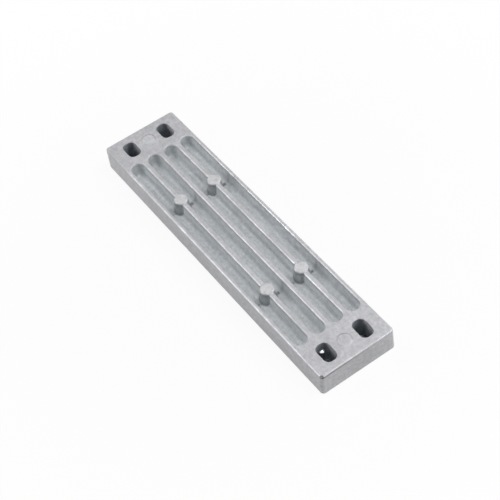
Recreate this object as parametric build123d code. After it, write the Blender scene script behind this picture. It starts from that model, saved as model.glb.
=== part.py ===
from build123d import *
import os
from math import radians, tan

# Fluted bar anode, one casting. Millimetres, +Z up, length along X.
# Origin: middle of the flat underside, which is the seating face.

# Bar
bar_length = 227.7          # at the underside
bar_width = 51.4            # at the underside
bar_height = 15.9           # underside to the land that the ribs share
side_draft = 1.0            # degrees, all four sides lean inwards
corner_radius = 2.3         # upright corners, at the underside
top_round = 1.0             # outer edge of the land
underside_bevel = 0.4

# Bolt slots, straight through, long way along X
slot_inset = 12.35          # bar end to slot centre
slot_spacing_y = 25.4
slot_length = 13.3          # end to end
slot_width = 8.4
slot_bevel = 0.3
slot_spacing_x = bar_length - 2 * slot_inset

# Flutes: four U-shaped troughs cast into the top, ending short of the slots
flute_count = 4
flute_pitch = 12.3
flute_to_slot = 5.95        # land left between a flute end and a slot
flute_width = 9.0           # at the land
flute_depth = 9.0
flute_draft = 5.0           # degrees, walls and round ends narrow downwards
floor_round = 3.2           # where the walls run into the floor
flute_edge_round = 1.0
flute_length = slot_spacing_x - slot_length - 2 * flute_to_slot

# Pegs: round posts standing in the two outer ribs, tops just proud of the land
peg_spacing_x = 90.2
peg_diameter = 8.6          # at the land
peg_draft = 5.0             # degrees, widening downwards
peg_rise = 0.6              # above the land
peg_root = 1.0              # how far the post runs on into the flute floor
peg_bevel = 0.5

# Shallow V-shaped groove around each peg, left by the ejector pin that pushed there
groove_width = 0.8
groove_depth = 0.25

# Low round pads, one between each pair of slots, where two more ejector pins pushed
pad_diameter = 7.2          # flat top
pad_rise = 0.35
pad_skirt = 1.0             # how far the edge slopes outwards on its way down

land = Plane.XY.offset(bar_height)

bar = extrude(RectangleRounded(bar_length, bar_width, corner_radius), bar_height, taper=side_draft)
bar = fillet(bar.faces().sort_by(Axis.Z)[-1].edges(), top_round)
bar = chamfer(bar.faces().sort_by(Axis.Z)[0].edges(), underside_bevel)

# Flutes
flute = extrude(SlotOverall(flute_length, flute_width), flute_depth, dir=(0, 0, -1), taper=flute_draft)
flute = fillet(flute.faces().sort_by(Axis.Z)[0].edges(), floor_round)
bar -= [land * at * flute for at in GridLocations(0, flute_pitch, 1, flute_count)]
rims = bar.faces().sort_by(Axis.Z)[-1].inner_wires()
bar = fillet(rims.edges(), flute_edge_round)

# Bolt slots
slot = extrude(SlotOverall(slot_length, slot_width), bar_height)
bar -= [at * slot for at in GridLocations(slot_spacing_x, slot_spacing_y, 2, 2)]
openings = bar.faces().sort_by(Axis.Z)[-1].inner_wires()
slot_rims = openings.filter_by(lambda rim: abs(rim.center().X) > flute_length / 2)
bar = chamfer(slot_rims.edges(), slot_bevel)

# Pegs, centred on the two outer ribs, each in its groove
peg_spacing_y = (flute_count - 2) * flute_pitch
peg_places = GridLocations(peg_spacing_x, peg_spacing_y, 2, 2)
peg_radius = peg_diameter / 2
groove_section = Polyline(
    (peg_radius, 0),
    (peg_radius + groove_width / 2, -groove_depth),
    (peg_radius + groove_width, 0),
    (peg_radius, 0),
)
groove = revolve(Plane.XZ * make_face(groove_section), Axis.Z)
bar -= [land * at * groove for at in peg_places]

peg_depth = flute_depth + peg_root
peg_top_radius = peg_radius - peg_rise * tan(radians(peg_draft))
peg_foot_radius = peg_radius + peg_depth * tan(radians(peg_draft))
peg = Cone(peg_foot_radius, peg_top_radius, peg_depth + peg_rise,
           align=(Align.CENTER, Align.CENTER, Align.MAX))
peg = chamfer(peg.edges().sort_by(Axis.Z)[-1], peg_bevel)
bar += [land * at * Pos(0, 0, peg_rise) * peg for at in peg_places]

# Ejector pads
pad_foot_radius = pad_diameter / 2 + pad_skirt
pad = Cone(pad_foot_radius, pad_diameter / 2, pad_rise, align=(Align.CENTER, Align.CENTER, Align.MIN))
bar += [land * at * pad for at in GridLocations(slot_spacing_x, 0, 2, 1)]

os.makedirs("parts", exist_ok=True)
export_step(bar, "parts/anode_casting.step")
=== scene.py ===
import bmesh
import bpy
from math import copysign, cos, radians, sin
from mathutils import Euler, Matrix, Vector


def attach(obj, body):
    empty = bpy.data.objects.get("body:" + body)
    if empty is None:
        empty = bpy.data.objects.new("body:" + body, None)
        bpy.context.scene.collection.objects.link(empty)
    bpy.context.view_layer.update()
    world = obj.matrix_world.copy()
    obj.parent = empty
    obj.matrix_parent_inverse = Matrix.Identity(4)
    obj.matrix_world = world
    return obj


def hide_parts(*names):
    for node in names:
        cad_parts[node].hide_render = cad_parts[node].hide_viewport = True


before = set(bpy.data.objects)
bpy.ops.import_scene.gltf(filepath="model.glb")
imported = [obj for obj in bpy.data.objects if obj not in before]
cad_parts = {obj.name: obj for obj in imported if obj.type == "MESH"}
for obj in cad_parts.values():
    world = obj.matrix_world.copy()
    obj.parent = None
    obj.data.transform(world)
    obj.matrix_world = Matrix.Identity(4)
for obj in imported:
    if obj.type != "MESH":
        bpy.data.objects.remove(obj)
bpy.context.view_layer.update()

# The camera looks down at the bar from beyond its near end, as in the photograph.
camera_data = bpy.data.cameras.new("camera")
camera_data.lens = 96.384
camera_data.sensor_width = 36.0
camera = bpy.data.objects.new("camera", camera_data)
camera.location = (0.46066, -0.23714, 0.61849)
camera.rotation_euler = Euler([radians(a) for a in (39.4587, 6.3014, 54.6769)])
bpy.context.scene.collection.objects.link(camera)
bpy.context.scene.camera = camera

# The anode casting: one bar of alloy, cast in a metal mould and never machined. The skin is a dull
# light grey with a fine grain; the flutes are faintly blue-green and painted lighter, as painted
# light.
# Sizes are in metres, and the land that the ribs share lies 0.0159 up.
peg_x, peg_y = 0.0451, 0.0123           # middle of the bar to the middle of a peg
slot_x, slot_y = 0.1015, 0.0127         # and of a bolt slot; a pad lies between two slots
slot_half_length, slot_half_width = 0.00664, 0.00418
slot_corner = 0.0033                    # radius
flute_pitch = 0.0123
flute_lines = (-0.01845, -0.00615, 0.00615, 0.01845)
land_colour = (0.545, 0.547, 0.570, 1.0)
flute_colour_with_painted_light = (0.752, 0.782, 0.802, 1.0)
bead_place = (0.0954, -0.0117, 0.0085)
bead_half_sizes = (0.0016, 0.0011, 0.00022)
bead_colour = (0.98, 0.98, 0.98, 1.0)
nick_place = (0.1129, -0.0245, 0.0156)
nick_shadow_place = (0.1129, -0.0246, 0.0154)
pinholes_per_square_metre = 3500.0      # and the radii of the smallest and the largest
smallest_pinhole, largest_pinhole = 0.00012, 0.00032


def add(tree, kind, inputs=None, **settings):
    """Adds a node to a tree, with its settings, and with its inputs either set or joined up."""
    node = tree.nodes.new(kind)
    for name, value in settings.items():
        setattr(node, name, value)
    for name, value in (inputs or {}).items():
        if isinstance(value, bpy.types.NodeSocket):
            tree.links.new(value, node.inputs[name])
        else:
            node.inputs[name].default_value = value
    return node


def calc(tree, operation, *values):
    return add(tree, "ShaderNodeMath", dict(enumerate(values)), operation=operation).outputs[0]


def vector(tree, operation, *values):
    inputs = dict(enumerate(values))
    return add(tree, "ShaderNodeVectorMath", inputs, operation=operation).outputs[0]


def parts_of(tree, value):
    """Splits a vector into its X, Y and Z."""
    return add(tree, "ShaderNodeSeparateXYZ", {0: value}).outputs


def distance(tree, value, centre):
    node = add(tree, "ShaderNodeVectorMath", {0: value, 1: centre}, operation="DISTANCE")
    return node.outputs["Value"]


def span(tree, value, start, end, low=0.0, high=1.0):
    """Goes from low to high while the value goes from start to end."""
    return add(tree, "ShaderNodeMapRange", {"Value": value, "From Min": start, "From Max": end,
                                            "To Min": low, "To Max": high}).outputs["Result"]


def near(tree, value, centre, outer, inner):
    """1 where the value is within inner of the centre, and 0 from outer on."""
    return span(tree, calc(tree, "ABSOLUTE", calc(tree, "SUBTRACT", value, centre)), outer, inner)


def both(tree, mask, *others):
    """Multiplies masks, so the result is 1 only where each of them is."""
    for other in others:
        mask = calc(tree, "MULTIPLY", mask, other)
    return mask


def stain(tree, colour, where, paint):
    """Multiplies a colour by a paint where the mask is 1."""
    return add(tree, "ShaderNodeMix", {"Factor": where, "A": colour, "B": (*paint, 1.0)},
               data_type="RGBA", blend_type="MULTIPLY").outputs["Result"]


alloy = bpy.data.materials.new("anode_alloy")
alloy.use_nodes = True
metal = alloy.node_tree
shader = metal.nodes["Principled BSDF"]
place = metal.nodes.new("ShaderNodeTexCoord")
point = place.outputs["Object"]
at = parts_of(metal, point)
facing = parts_of(metal, place.outputs["Normal"])
folded = vector(metal, "ABSOLUTE", point)
off = parts_of(metal, folded)
flat = vector(metal, "MULTIPLY", folded, (1.0, 1.0, 0.0))
from_peg = distance(metal, flat, (peg_x, peg_y, 0.0))
from_pad = distance(metal, flat, (slot_x, 0.0, 0.0))

# Cloudy patches, speckle and grain, from about 20 mm across down to 0.4 mm, streaks that run
# straight down the sides of the pegs, and drag lines that run along the flutes
drawn = vector(metal, "MULTIPLY", point, (0.06, 1.0, 1.0))
noise = {}
for name, scale, detail, where in (("clouds", 55, 3, point), ("speckle", 420, 4, point),
                                   ("grain", 2400, 3, point), ("streaks", 1500, 2, flat),
                                   ("drag", 900, 3, drawn)):
    noise[name] = add(metal, "ShaderNodeTexNoise", {
        "Scale": scale, "Detail": detail, "Roughness": 0.6, "Vector": where}).outputs["Fac"]

# Inside a flute: 0 on the land, 1 from 3 mm down
inside = both(metal, span(metal, at["Z"], 0.0156, 0.0126),
              calc(metal, "LESS_THAN", off["X"], 0.0895),
              calc(metal, "LESS_THAN", off["Y"], 0.0235))
# The flutes are painted lighter than the land, painted light in place of the light that reaches
# into them
shade = add(metal, "ShaderNodeMix", {"Factor": inside, "A": land_colour, "B": flute_colour_with_painted_light},
            data_type="RGBA").outputs["Result"]

# The ejector pins pressed the tops of the pegs and the far pad smooth and bright. Each pad has a
# painted highlight on its rim and a painted shade line along its far side. The sides of the pegs
# are painted in shade, with streaks.
peg_top = both(metal, span(metal, from_peg, 0.0043, 0.0040), span(metal, at["Z"], 0.0160, 0.0163))
pad_top = both(metal, span(metal, from_pad, 0.0038, 0.0034), span(metal, at["X"], 0.05, -0.05))
pad_rim_highlight = near(metal, from_pad, 0.0035, 0.0005, 0.0001)
shaded_side = calc(metal, "MULTIPLY_ADD", calc(metal, "SIGN", at["X"]), slot_x,
           calc(metal, "SUBTRACT", at["Y"], at["X"]))
pad_shade_line = both(metal, near(metal, from_pad, 0.0044, 0.0006, 0.0002), span(metal, shaded_side, 0.0, 0.004))
peg_side_shade = both(metal, span(metal, from_peg, 0.0056, 0.0052), span(metal, at["Z"], 0.0156, 0.0150),
                span(metal, noise["streaks"], 0.3, 0.7, 0.65, 1.35))
for where, paint in ((peg_top, (1.16, 1.16, 1.15)), (pad_top, (1.12, 1.12, 1.12)),
                     (pad_rim_highlight, (1.10, 1.10, 1.10)), (pad_shade_line, (0.66, 0.66, 0.67)),
                     (peg_side_shade, (0.60, 0.61, 0.61))):
    shade = stain(metal, shade, where, paint)

# Painted shade on the far end and the left wall of each flute, round the foot of each peg, and in a
# small shrink mark, a painted peg shadow beside it, and painted light at the near end of a flute
end_wall_shade = both(metal, span(metal, at["X"], -0.0850, -0.0865), span(metal, facing["X"], 0.45, 0.85))
left_wall_shade = span(metal, facing["Y"], -0.12, 0.6)
near_end_light = span(metal, at["X"], 0.0800, 0.0880)
peg_foot_shade = both(metal, span(metal, from_peg, 0.0062, 0.0052), span(metal, at["Z"], 0.0100, 0.0075))
mark_x = calc(metal, "ABSOLUTE", calc(metal, "SUBTRACT", off["X"], 0.0453))
mark_y = calc(metal, "WRAP", calc(metal, "ADD", at["Y"], 0.00585), flute_pitch, -flute_pitch)
shrink_mark_shade = both(metal, span(metal, mark_x, 0.0015, 0.0007), near(metal, mark_y, 0.0, 0.0016, 0.0008))
peg_shadow_streak = both(metal, span(metal, mark_x, 0.0022, 0.0002), span(metal, mark_y, -0.0004, 0.0006),
              span(metal, mark_y, 0.0060, 0.0050))
for where, paint in ((end_wall_shade, (0.78, 0.79, 0.78)), (left_wall_shade, (0.62, 0.615, 0.61)),
                     (near_end_light, (1.08, 1.07, 1.06)), (peg_foot_shade, (0.66, 0.67, 0.68)),
                     (shrink_mark_shade, (0.45, 0.46, 0.46)), (peg_shadow_streak, (0.72, 0.73, 0.74))):
    shade = stain(metal, shade, both(metal, where, inside), paint)

# Painted shade darkens the land a little towards the far end, and the sides and upright corners are
# lighter towards the ends. A painted shadow runs under the top edge of the near end, darkest at the
# nick.
far_land_shade = both(metal, span(metal, at["X"], 0.03, -0.11), span(metal, at["Z"], 0.0156, 0.0158))
upright = both(metal, span(metal, off["X"], 0.1115, 0.1130), span(metal, off["Y"], 0.0233, 0.0248))
side_end = both(metal, span(metal, off["X"], 0.080, 0.113), span(metal, off["Y"], 0.006, 0.025),
                span(metal, facing["Z"], 0.6, 0.3))
edge_shadow_line = both(metal, span(metal, at["X"], 0.1130, 0.1132),
            near(metal, at["Z"], 0.0147, 0.0007, 0.0003), span(metal, at["Y"], 0.018, -0.015))
nick_shade = span(metal, distance(metal, point, nick_shadow_place), 0.0017, 0.0009)
for where, paint in ((far_land_shade, (0.93, 0.93, 0.93)), (upright, (1.10, 1.10, 1.10)),
                     (side_end, (1.10, 1.10, 1.10)), (edge_shadow_line, (0.42, 0.42, 0.43)),
                     (nick_shade, (0.38, 0.38, 0.39))):
    shade = stain(metal, shade, where, paint)

# The walls of the bolt slots are painted in bluish shade, the end walls from just under the rim and
# the side walls further down, but the flat back round them isn't. One bright bead of metal is stuck
# to a wall.
slot_mouth = (0.0072, 0.0047, 1.0)      # half length and half width, with the bevel
from_slot = vector(metal, "ABSOLUTE", vector(metal, "SUBTRACT", folded, (slot_x, slot_y, 0.0)))
from_slot = parts_of(metal, vector(metal, "DIVIDE", from_slot, slot_mouth))
in_slot = span(metal, calc(metal, "MAXIMUM", from_slot["X"], from_slot["Y"]), 1.0, 0.99)
side_wall = span(metal, facing["Y"], -0.3, -0.8)
side_shade = both(metal, span(metal, at["Z"], 0.0145, 0.0050), side_wall)
other_shade = both(metal, span(metal, at["Z"], 0.0152, 0.0105), span(metal, side_wall, 1.0, 0.0))
end_shade = both(metal, span(metal, at["Z"], 0.0158, 0.0146), span(metal, facing["X"], 0.3, 0.7))
slot_shade = calc(metal, "MAXIMUM", calc(metal, "MAXIMUM", side_shade, other_shade), end_shade)
slot_shade = both(metal, slot_shade, span(metal, at["Z"], 0.0001, 0.0003), in_slot)
shade = stain(metal, shade, slot_shade, (0.50, 0.55, 0.58))
bead = both(metal, span(metal, distance(metal, point, bead_place), 0.0018, 0.0017),
            span(metal, at["X"], 0.09488, 0.09492))
shade = add(metal, "ShaderNodeMix", {"Factor": bead, "A": shade, "B": bead_colour},
            data_type="RGBA").outputs["Result"]

# Patches, speckle, grain and drag lines darken and lighten the skin by a few percent
for name, low, high in (("clouds", 0.95, 1.05), ("speckle", 0.85, 1.15), ("grain", 0.82, 1.18)):
    brightness = span(metal, noise[name], 0.3, 0.7, low, high)
    shade = add(metal, "ShaderNodeVectorMath", {0: shade, "Scale": brightness},
                operation="SCALE").outputs[0]
lines = both(metal, inside, span(metal, noise["drag"], 0.45, 0.70))
shade = stain(metal, shade, lines, (0.84, 0.85, 0.86))
metal.links.new(shade, shader.inputs["Base Color"])

# Handling has rubbed the rounded rims of the flutes, the bar and the pegs down to bright metal,
# less so at the peg tops, at the far ends of the flutes and on the edge of the near end
rubbed = both(metal, span(metal, facing["Z"], 0.975, 0.90), span(metal, at["Z"], 0.0149, 0.0154),
              span(metal, in_slot, 1.0, 0.0), span(metal, from_pad, 0.0048, 0.0052),
              span(metal, from_peg, 0.0050, 0.0056, 0.4, 1.0),
              span(metal, at["X"], -0.088, -0.080, 0.3, 1.0),
              span(metal, at["X"], 0.111, 0.113, 1.0, 0.6),
              span(metal, noise["clouds"], 0.3, 0.7, 0.6, 1.1),
              span(metal, noise["speckle"], 0.3, 0.7, 0.6, 1.2))
bare = calc(metal, "MAXIMUM", calc(metal, "MULTIPLY_ADD", rubbed, 0.42, 0.06), bead)
metal.links.new(bare, shader.inputs["Metallic"])
rough = calc(metal, "MULTIPLY_ADD", rubbed, -0.22,
             span(metal, noise["speckle"], 0.3, 0.7, 0.44, 0.56))
rough = calc(metal, "MULTIPLY_ADD", bead, -0.48, rough)
metal.links.new(rough, shader.inputs["Roughness"])
relief = calc(metal, "MULTIPLY_ADD", noise["speckle"], 2.5, noise["grain"])
bump = add(metal, "ShaderNodeBump", {"Strength": span(metal, bead, 1.0, 0.0), "Distance": 0.00004,
                                     "Height": relief})
metal.links.new(bump.outputs["Normal"], shader.inputs["Normal"])

# The skin is the CAD casting with its corners joined up, and its long facets cut every 4 mm so that
# a blemish changes the light only where it is
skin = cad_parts["anode_casting"].data.copy()
skin.materials.clear()
skin.materials.append(alloy)
work = bmesh.new()
work.from_mesh(skin)
bmesh.ops.remove_doubles(work, verts=work.verts, dist=1e-6)
for station in range(-112, 113, 4):
    bmesh.ops.bisect_plane(work, geom=work.verts[:] + work.edges[:] + work.faces[:],
                           plane_co=(station / 1000 + 0.0001, 0, 0), plane_no=(1, 0, 0))
work.to_mesh(skin)
work.free()

# Blemishes cut into it: a nick in the top corner at the near end, a pinhole on the near land, and a
# small shrink mark in the floor on both sides of each peg
marks = bmesh.new()
blows = [(nick_place, (0.0009, 0.0007, 0.0005), 35),
         ((0.0936, -0.0067, 0.0159), (0.0003, 0.0003, 0.0003), 0)]
blows += [((x + 0.0002, y, 0.0070), (0.0006, 0.0011, 0.0007), 0)
          for x in (-peg_x, peg_x) for y in flute_lines]
for centre, radii, turn in blows:
    stretch = Matrix.Rotation(radians(turn), 4, "Z") @ Matrix.Diagonal((*radii, 1))
    bmesh.ops.create_icosphere(marks, subdivisions=2, radius=1.0,
                               matrix=Matrix.Translation(centre) @ stretch)

# The slots came out of the mould squarer at the corners than their plain round ends. Each is cut
# again by a block with rounded corners that widens above the land.
corner_steps = (2, 17, 31, 45, 59, 73, 88)      # degrees into a quarter turn
corner_angles = [radians(start + step) for start in (0, 90, 180, 270) for step in corner_steps]
for x, y in ((-slot_x, -slot_y), (-slot_x, slot_y), (slot_x, -slot_y), (slot_x, slot_y)):
    rings = []
    for z, grown in ((-0.001, 0.0), (0.0156, 0.0), (0.0165, 0.0009)):
        radius = slot_corner + grown
        rings.append([marks.verts.new((
            x + copysign(slot_half_length - slot_corner, cos(angle)) + radius * cos(angle),
            y + copysign(slot_half_width - slot_corner, sin(angle)) + radius * sin(angle),
            z)) for angle in corner_angles])
    for lower, upper in zip(rings, rings[1:]):
        for i in range(len(lower)):
            marks.faces.new((lower[i - 1], lower[i], upper[i], upper[i - 1]))
    marks.faces.new(rings[0][::-1])
    marks.faces.new(rings[-1])
marks_mesh = bpy.data.meshes.new("marks")
marks.to_mesh(marks_mesh)
marks.free()
marks_object = bpy.data.objects.new("marks", marks_mesh)

# Pinholes are scattered over the whole casting and cut out together with the marks
tree = bpy.data.node_groups.new("casting_blemishes", "GeometryNodeTree")
sockets = {}
for name, kind in (("Casting", "Geometry"), ("Marks", "Object"),
                   ("Pinholes per Square Metre", "Float"), ("Smallest", "Float"),
                   ("Largest", "Float"), ("Seed", "Int"), ("Skin", "Material")):
    socket = tree.interface.new_socket(name, in_out="INPUT", socket_type="NodeSocket" + kind)
    sockets[name] = socket.identifier
tree.interface.new_socket("Casting", in_out="OUTPUT", socket_type="NodeSocketGeometry")
given = tree.nodes.new("NodeGroupInput").outputs
scatter = add(tree, "GeometryNodeDistributePointsOnFaces", {
    "Mesh": given["Casting"], "Density": given["Pinholes per Square Metre"], "Seed": given["Seed"]})
hole = add(tree, "GeometryNodeMeshIcoSphere", {"Radius": 1.0, "Subdivisions": 2})
size = add(tree, "FunctionNodeRandomValue", {"Min": given["Smallest"], "Max": given["Largest"],
                                             "Seed": given["Seed"]}, data_type="FLOAT")
holes = add(tree, "GeometryNodeInstanceOnPoints", {
    "Points": scatter.outputs["Points"], "Rotation": scatter.outputs["Rotation"],
    "Instance": hole.outputs["Mesh"], "Scale": size.outputs["Value"]})
solid_holes = add(tree, "GeometryNodeRealizeInstances", {"Geometry": holes.outputs["Instances"]})
marks_in = add(tree, "GeometryNodeObjectInfo", {"Object": given["Marks"]})
cut = add(tree, "GeometryNodeMeshBoolean", {"Mesh 1": given["Casting"]},
          operation="DIFFERENCE", solver="EXACT")
tree.links.new(solid_holes.outputs["Geometry"], cut.inputs["Mesh 2"])
tree.links.new(marks_in.outputs["Geometry"], cut.inputs["Mesh 2"])
real = add(tree, "GeometryNodeRealizeInstances", {"Geometry": cut.outputs["Mesh"]})
painted = add(tree, "GeometryNodeSetMaterial", {"Geometry": real.outputs["Geometry"],
                                                "Material": given["Skin"]})
add(tree, "NodeGroupOutput", {"Casting": painted.outputs["Geometry"]})


def evaluated_mesh(thing):
    """A new mesh with the object's modifiers applied, which are then taken off."""
    seen_by = bpy.context.evaluated_depsgraph_get()
    mesh = bpy.data.meshes.new_from_object(thing.evaluated_get(seen_by))
    thing.modifiers.clear()
    return mesh


casting = bpy.data.objects.new("anode_casting_skin", skin)
bpy.context.scene.collection.objects.link(casting)
blemishes = casting.modifiers.new("blemishes", "NODES")
blemishes.node_group = tree
for name, value in (("Marks", marks_object),
                    ("Pinholes per Square Metre", pinholes_per_square_metre),
                    ("Smallest", smallest_pinhole), ("Largest", largest_pinhole),
                    ("Seed", 4), ("Skin", alloy)):
    blemishes[sockets[name]] = value
cast_mesh = evaluated_mesh(casting)
bpy.data.objects.remove(marks_object)
cast_mesh.shade_smooth()
cast_mesh.set_sharp_from_angle(angle=radians(50))

# The shallow edges of the pads and of the grooves round the pegs stay crisp
work = bmesh.new()
work.from_mesh(cast_mesh)
for edge in work.edges:
    middle = (edge.verts[0].co + edge.verts[1].co) / 2
    off_pad = Vector((abs(middle.x) - slot_x, middle.y)).length
    off_peg = Vector((abs(middle.x) - peg_x, abs(middle.y) - peg_y)).length
    if middle.z > 0.0155 and (off_pad < 0.0048 or off_peg < 0.0053):
        if len(edge.link_faces) == 2 and edge.calc_face_angle(0) > radians(10):
            edge.smooth = False

# The bead of metal sits half sunk in the wall of its slot and faces up and out
up = Vector((0.585, -0.197, 0.785)).normalized()
along = Vector((0.575, 0.811, -0.110))
along = (along - along.dot(up) * up).normalized()
lie = Matrix((along, up.cross(along), up)).transposed().to_4x4()
ball = bmesh.ops.create_icosphere(
    work, subdivisions=3, radius=1.0,
    matrix=Matrix.Translation(bead_place) @ lie @ Matrix.Diagonal((*bead_half_sizes, 1)))
for vert in ball["verts"]:
    for face in vert.link_faces:
        face.smooth = True
work.to_mesh(cast_mesh)
work.free()
casting.data = cast_mesh

# Flat faces keep their own direction, so the light rolls over the narrow rounds between them
flow = casting.modifiers.new("flow", "WEIGHTED_NORMAL")
flow.keep_sharp = True
flow.weight = 100
casting.data = evaluated_mesh(casting)
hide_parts("anode_casting")
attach(casting, "root")

# The ground: a plain white sheet that the bar lies on with its flat back down. It looks white all
# round the bar, and lies in real shade under it, where it shows through the bolt slots.
ground_reach = 3.0
under_x, under_y = 0.112, 0.024         # the shaded part, just inside the edge of the bar
ground_mesh = bpy.data.meshes.new("ground")
ground_mesh.from_pydata([(-ground_reach, -ground_reach, 0), (ground_reach, -ground_reach, 0),
                         (ground_reach, ground_reach, 0), (-ground_reach, ground_reach, 0)],
                        [], [(0, 1, 2, 3)])
ground = bpy.data.objects.new("ground", ground_mesh)
bpy.context.scene.collection.objects.link(ground)


def seen_directly(tree):
    """1 for what the camera sees itself, in a reflection or through a clear thing."""
    seen = tree.nodes.new("ShaderNodeLightPath").outputs
    reflected = calc(tree, "MAXIMUM", seen["Is Camera Ray"], seen["Is Glossy Ray"])
    return calc(tree, "MAXIMUM", reflected, seen["Is Transmission Ray"])


paper = bpy.data.materials.new("white_paper")
paper.use_nodes = True
sheet = paper.node_tree
shader = sheet.nodes["Principled BSDF"]
shader.inputs["Base Color"].default_value = (0.8, 0.8, 0.8, 1.0)
shader.inputs["Roughness"].default_value = 0.8
glow = add(sheet, "ShaderNodeEmission")
point = sheet.nodes.new("ShaderNodeTexCoord").outputs["Object"]
off = parts_of(sheet, vector(sheet, "ABSOLUTE", point))
outside = calc(sheet, "MAXIMUM", calc(sheet, "GREATER_THAN", off["X"], under_x),
               calc(sheet, "GREATER_THAN", off["Y"], under_y))
away = add(sheet, "ShaderNodeVectorMath", {0: point}, operation="LENGTH").outputs["Value"]
clean = add(sheet, "ShaderNodeMapRange", {
    "Value": away, "From Min": 0.05, "From Max": 0.32, "To Min": 0.93, "To Max": 1.0},
    interpolation_type="SMOOTHSTEP").outputs["Result"]
whiteness = both(sheet, seen_directly(sheet), outside, clean)
look = add(sheet, "ShaderNodeMixShader", {"Fac": whiteness, 1: shader.outputs["BSDF"],
                                          2: glow.outputs["Emission"]})
sheet.links.new(look.outputs["Shader"], sheet.nodes["Material Output"].inputs["Surface"])
ground_mesh.materials.append(paper)

# The light: a pale room, and large soft lamps around the bar. Each lamp is given by where it stands
# (degrees round from the near end, degrees up), its width and height in metres, and its power.
world = bpy.data.worlds.new("room")
world.use_nodes = True
room = world.node_tree
black = room.nodes["Background"]
black.inputs["Color"].default_value = (0.0, 0.0, 0.0, 1.0)
white = add(room, "ShaderNodeBackground", {"Color": (1.0, 1.0, 1.0, 1.0)})
look = add(room, "ShaderNodeMixShader", {"Fac": seen_directly(room), 1: black.outputs["Background"],
                                         2: white.outputs["Background"]})
room.links.new(look.outputs["Shader"], room.nodes["World Output"].inputs["Surface"])
bpy.context.scene.world = world

lamp_distance = 1.2
for name, around, up, wide, high, power in (
    ("lamp_left", 238, 27, 0.6, 0.45, 3.1),
    ("lamp_left_high", 216, 48, 0.55, 0.45, 3.1),
    ("lamp_right", 66, 27, 0.7, 0.45, 1.0),
    ("lamp_right_mid", 75, 48, 0.7, 0.45, 5.1),
    ("lamp_right_high", 60, 68, 0.5, 0.45, 4.2),
    ("lamp_near", 15, 24, 0.6, 0.4, 2.4),
):
    lamp_data = bpy.data.lights.new(name, "AREA")
    lamp_data.shape = "RECTANGLE"
    lamp_data.size, lamp_data.size_y = wide, high
    lamp_data.energy = power
    lamp = bpy.data.objects.new(name, lamp_data)
    direction = Euler((0, -radians(up), radians(around))).to_matrix()
    lamp.location = direction @ Vector((lamp_distance, 0, 0))
    lamp.rotation_euler = lamp.location.to_track_quat("Z", "Y").to_euler()
    bpy.context.scene.collection.objects.link(lamp)
bpy.context.scene.view_settings.view_transform = "Standard"
